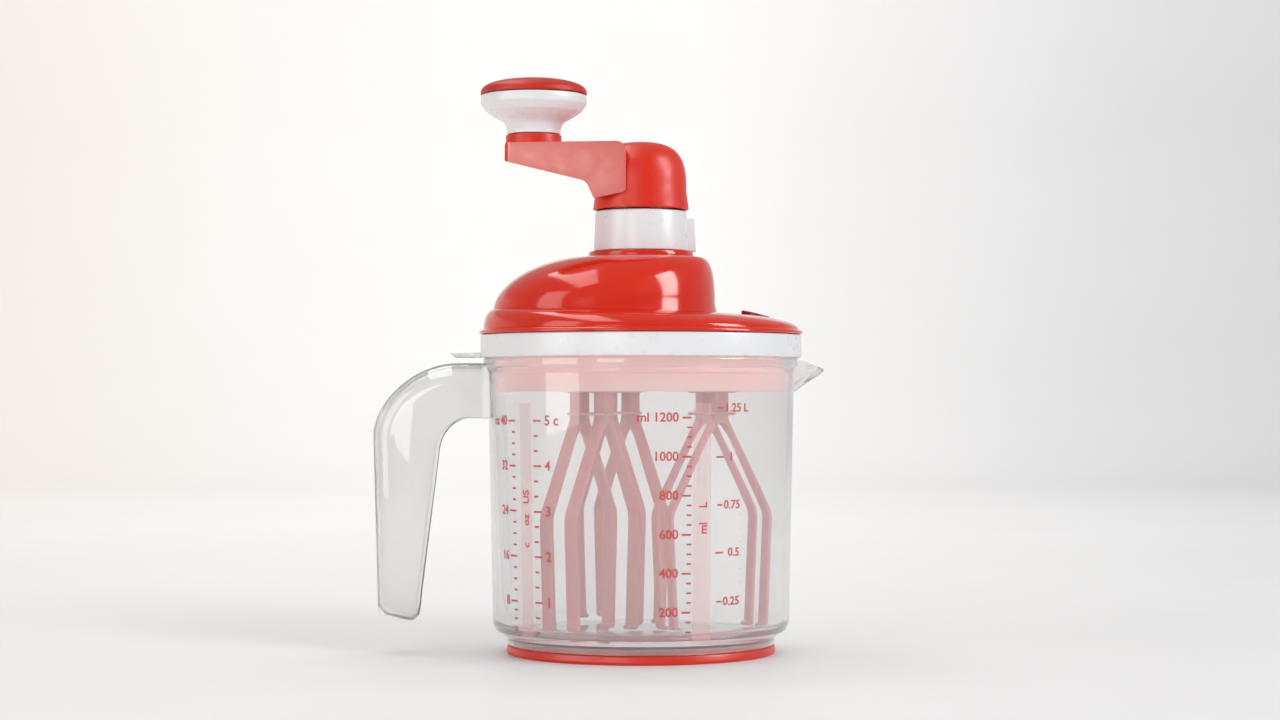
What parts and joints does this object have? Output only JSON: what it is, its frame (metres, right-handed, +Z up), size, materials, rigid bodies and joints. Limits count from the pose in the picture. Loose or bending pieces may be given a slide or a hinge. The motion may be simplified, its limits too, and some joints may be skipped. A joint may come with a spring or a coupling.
{
  "type": "hand crank mixer",
  "caption": "Hand cranked whipping jug: a clear measuring jug with a spout and handle, a geared lid, a crank with a spinning knob and counter-turning whisks.",
  "frame": {"origin": "on the ground, midway between the spout's tip and the handle's back, in the plane of the handle", "axes": "+Z up; +X from the handle towards the spout; the jug's and the crank's axis is parallel to +Z at x = 18.2 mm"},
  "size_m": [0.1936, 0.1392, 0.2465],
  "materials": {
    "clear_jug": "clear gloss",
    "red_gloss": "gloss",
    "red_satin": "satin",
    "dark_red": "satin",
    "white_gloss": "gloss",
    "white_satin": "satin",
    "whisk_pink": "satin",
    "natural": "satin",
    "steel": "satin",
    "seal": "soft"
  },
  "bodies": {
    "jug": {"jug": "clear_jug", "base_ring": "red_satin"},
    "lid": {"lid_ring": "white_gloss", "gear_tray": "red_satin", "lid_seal": "seal", "gear_plate": "white_satin", "plate_screw_1": "steel", "plate_screw_2": "steel", "plate_screw_3": "steel", "top_cover": "red_gloss", "filler_funnel": "dark_red", "turret_collar": "white_gloss", "shaft_bush_upper": "natural", "shaft_bush_lower": "natural", "spindle_bush_1": "natural", "spindle_bush_2": "natural", "spindle_bush_3": "natural"},
    "crank": {"crank_arm": "red_gloss", "drive_shaft": "white_satin", "shaft_circlip": "steel", "sun_gear": "white_satin", "knob_axle": "steel"},
    "knob": {"knob_body": "white_gloss", "knob_cap": "red_gloss"},
    "whisk_1": {"pinion_1": "natural", "whisk_hub_1": "whisk_pink", "whisk_spacer_1": "whisk_pink", "whisk_frame_1a": "whisk_pink", "whisk_frame_1b": "whisk_pink"},
    "whisk_2": {"pinion_2": "natural", "whisk_hub_2": "whisk_pink", "whisk_spacer_2": "whisk_pink", "whisk_frame_2a": "whisk_pink", "whisk_frame_2b": "whisk_pink"},
    "whisk_3": {"pinion_3": "natural", "whisk_hub_3": "whisk_pink", "whisk_spacer_3": "whisk_pink", "whisk_frame_3a": "whisk_pink", "whisk_frame_3b": "whisk_pink"}
  },
  "joints": [
    {"name": "lid_lift", "type": "slide", "parent": "jug", "child": "lid", "axis": [0, 0, 1], "range_m": [0, 0.13]},
    {"name": "crank_spin", "type": "hinge", "parent": "lid", "child": "crank", "pos_m": [0.0182, 0, 0.19], "axis": [0, 0, 1], "continuous": true},
    {"name": "knob_spin", "type": "hinge", "parent": "crank", "child": "knob", "pos_m": [-0.028, 0, 0.2226], "axis": [0, 0, 1], "continuous": true},
    {"name": "whisk_1_spin", "type": "hinge", "parent": "lid", "child": "whisk_1", "pos_m": [0.04852, -0.00645, 0.116], "axis": [0, 0, 1], "continuous": true},
    {"name": "whisk_2_spin", "type": "hinge", "parent": "lid", "child": "whisk_2", "pos_m": [-0.00254, -0.02304, 0.116], "axis": [0, 0, 1], "continuous": true},
    {"name": "whisk_3_spin", "type": "hinge", "parent": "lid", "child": "whisk_3", "pos_m": [0.00862, 0.02948, 0.116], "axis": [0, 0, 1], "continuous": true}
  ],
  "couplings": [
    {"joint": "whisk_1_spin", "follows": "crank_spin", "ratio": -3},
    {"joint": "whisk_2_spin", "follows": "crank_spin", "ratio": -3},
    {"joint": "whisk_3_spin", "follows": "crank_spin", "ratio": -3}
  ]
}
